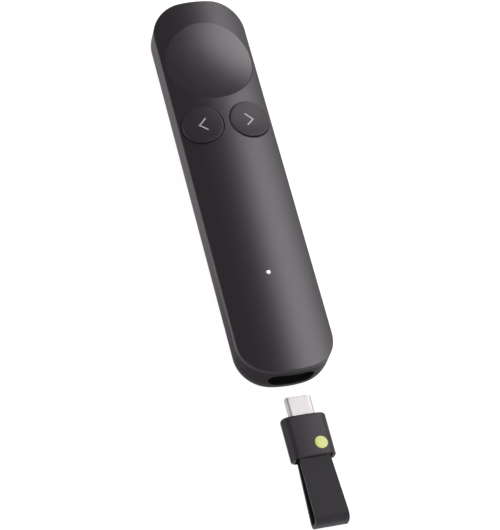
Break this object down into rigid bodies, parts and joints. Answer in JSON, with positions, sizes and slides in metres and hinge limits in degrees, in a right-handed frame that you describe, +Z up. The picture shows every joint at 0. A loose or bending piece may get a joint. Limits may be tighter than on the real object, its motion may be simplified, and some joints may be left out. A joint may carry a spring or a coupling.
{
  "type": "wireless presentation clicker",
  "caption": "Slim hand-held presentation remote with a crowned face, dished thumb pad, chevron keys, a status light and a pull-out radio receiver on a rubber strap loop.",
  "frame": {"origin": "centre of the flat underside of the clicker's case", "axes": "+Z up out of the button face, +Y towards the front end with the thumb pad, +X to the right"},
  "size_m": [0.03, 0.1802, 0.0136],
  "materials": {
    "coated_shell": "soft satin coating on moulded plastic",
    "case_plastic": "fine moulded grain",
    "key_plastic": "soft satin coating on moulded plastic",
    "mark_inlay": "pale grey second-shot inlay",
    "light": "clear acrylic, lit white",
    "inner_black": "unpolished moulding",
    "bright_steel": "stamped steel",
    "contact_carrier": "glass-filled moulding",
    "circuit_board": "solder mask",
    "natural_nylon": "natural nylon",
    "foil": "laminated foil pouch",
    "foam": "adhesive foam",
    "chip_ceramic": "fired ceramic",
    "receiver_plastic": "fine moulded grain",
    "plug_nickel": "satin nickel plate",
    "lime_inlay": "lime plastic inlay",
    "strap_rubber": "smooth silicone rubber"
  },
  "bodies": {
    "body": {"top_cover": "coated_shell", "bottom_case": "case_plastic", "light_pipe": "light", "dock_sleeve": "inner_black", "charge_port": "bright_steel", "port_tongue": "contact_carrier", "main_board": "circuit_board", "board_screws": "bright_steel", "pointer_switch": "inner_black", "back_switch": "inner_black", "next_switch": "inner_black", "key_frame": "natural_nylon", "battery": "foil", "battery_pad": "foam", "haptic_motor": "bright_steel", "processor_shield": "bright_steel", "antenna": "chip_ceramic", "status_led": "chip_ceramic"},
    "pointer": {"pointer_button": "key_plastic", "pointer_stem": "natural_nylon"},
    "back": {"back_button": "key_plastic", "back_mark": "mark_inlay", "back_stem": "natural_nylon"},
    "next": {"next_button": "key_plastic", "next_mark": "mark_inlay", "next_stem": "natural_nylon"},
    "receiver": {"receiver_housing": "receiver_plastic", "receiver_cap": "receiver_plastic", "receiver_plug": "plug_nickel", "plug_insert": "contact_carrier", "receiver_board": "circuit_board", "receiver_badge": "lime_inlay", "strap_pin": "bright_steel", "strap_loop": "strap_rubber"}
  },
  "joints": [
    {"name": "pointer_press", "type": "slide", "parent": "body", "child": "pointer", "axis": [0, 0, -1], "range_m": [0, 0.0004], "stiffness_N_per_m": 1500},
    {"name": "back_press", "type": "slide", "parent": "body", "child": "back", "axis": [0, 0, -1], "range_m": [0, 0.0004], "stiffness_N_per_m": 1500},
    {"name": "next_press", "type": "slide", "parent": "body", "child": "next", "axis": [0, 0, -1], "range_m": [0, 0.0004], "stiffness_N_per_m": 1500},
    {"name": "receiver_slide", "type": "slide", "parent": "body", "child": "receiver", "axis": [0, 1, 0], "range_m": [0, 0.0266]}
  ]
}
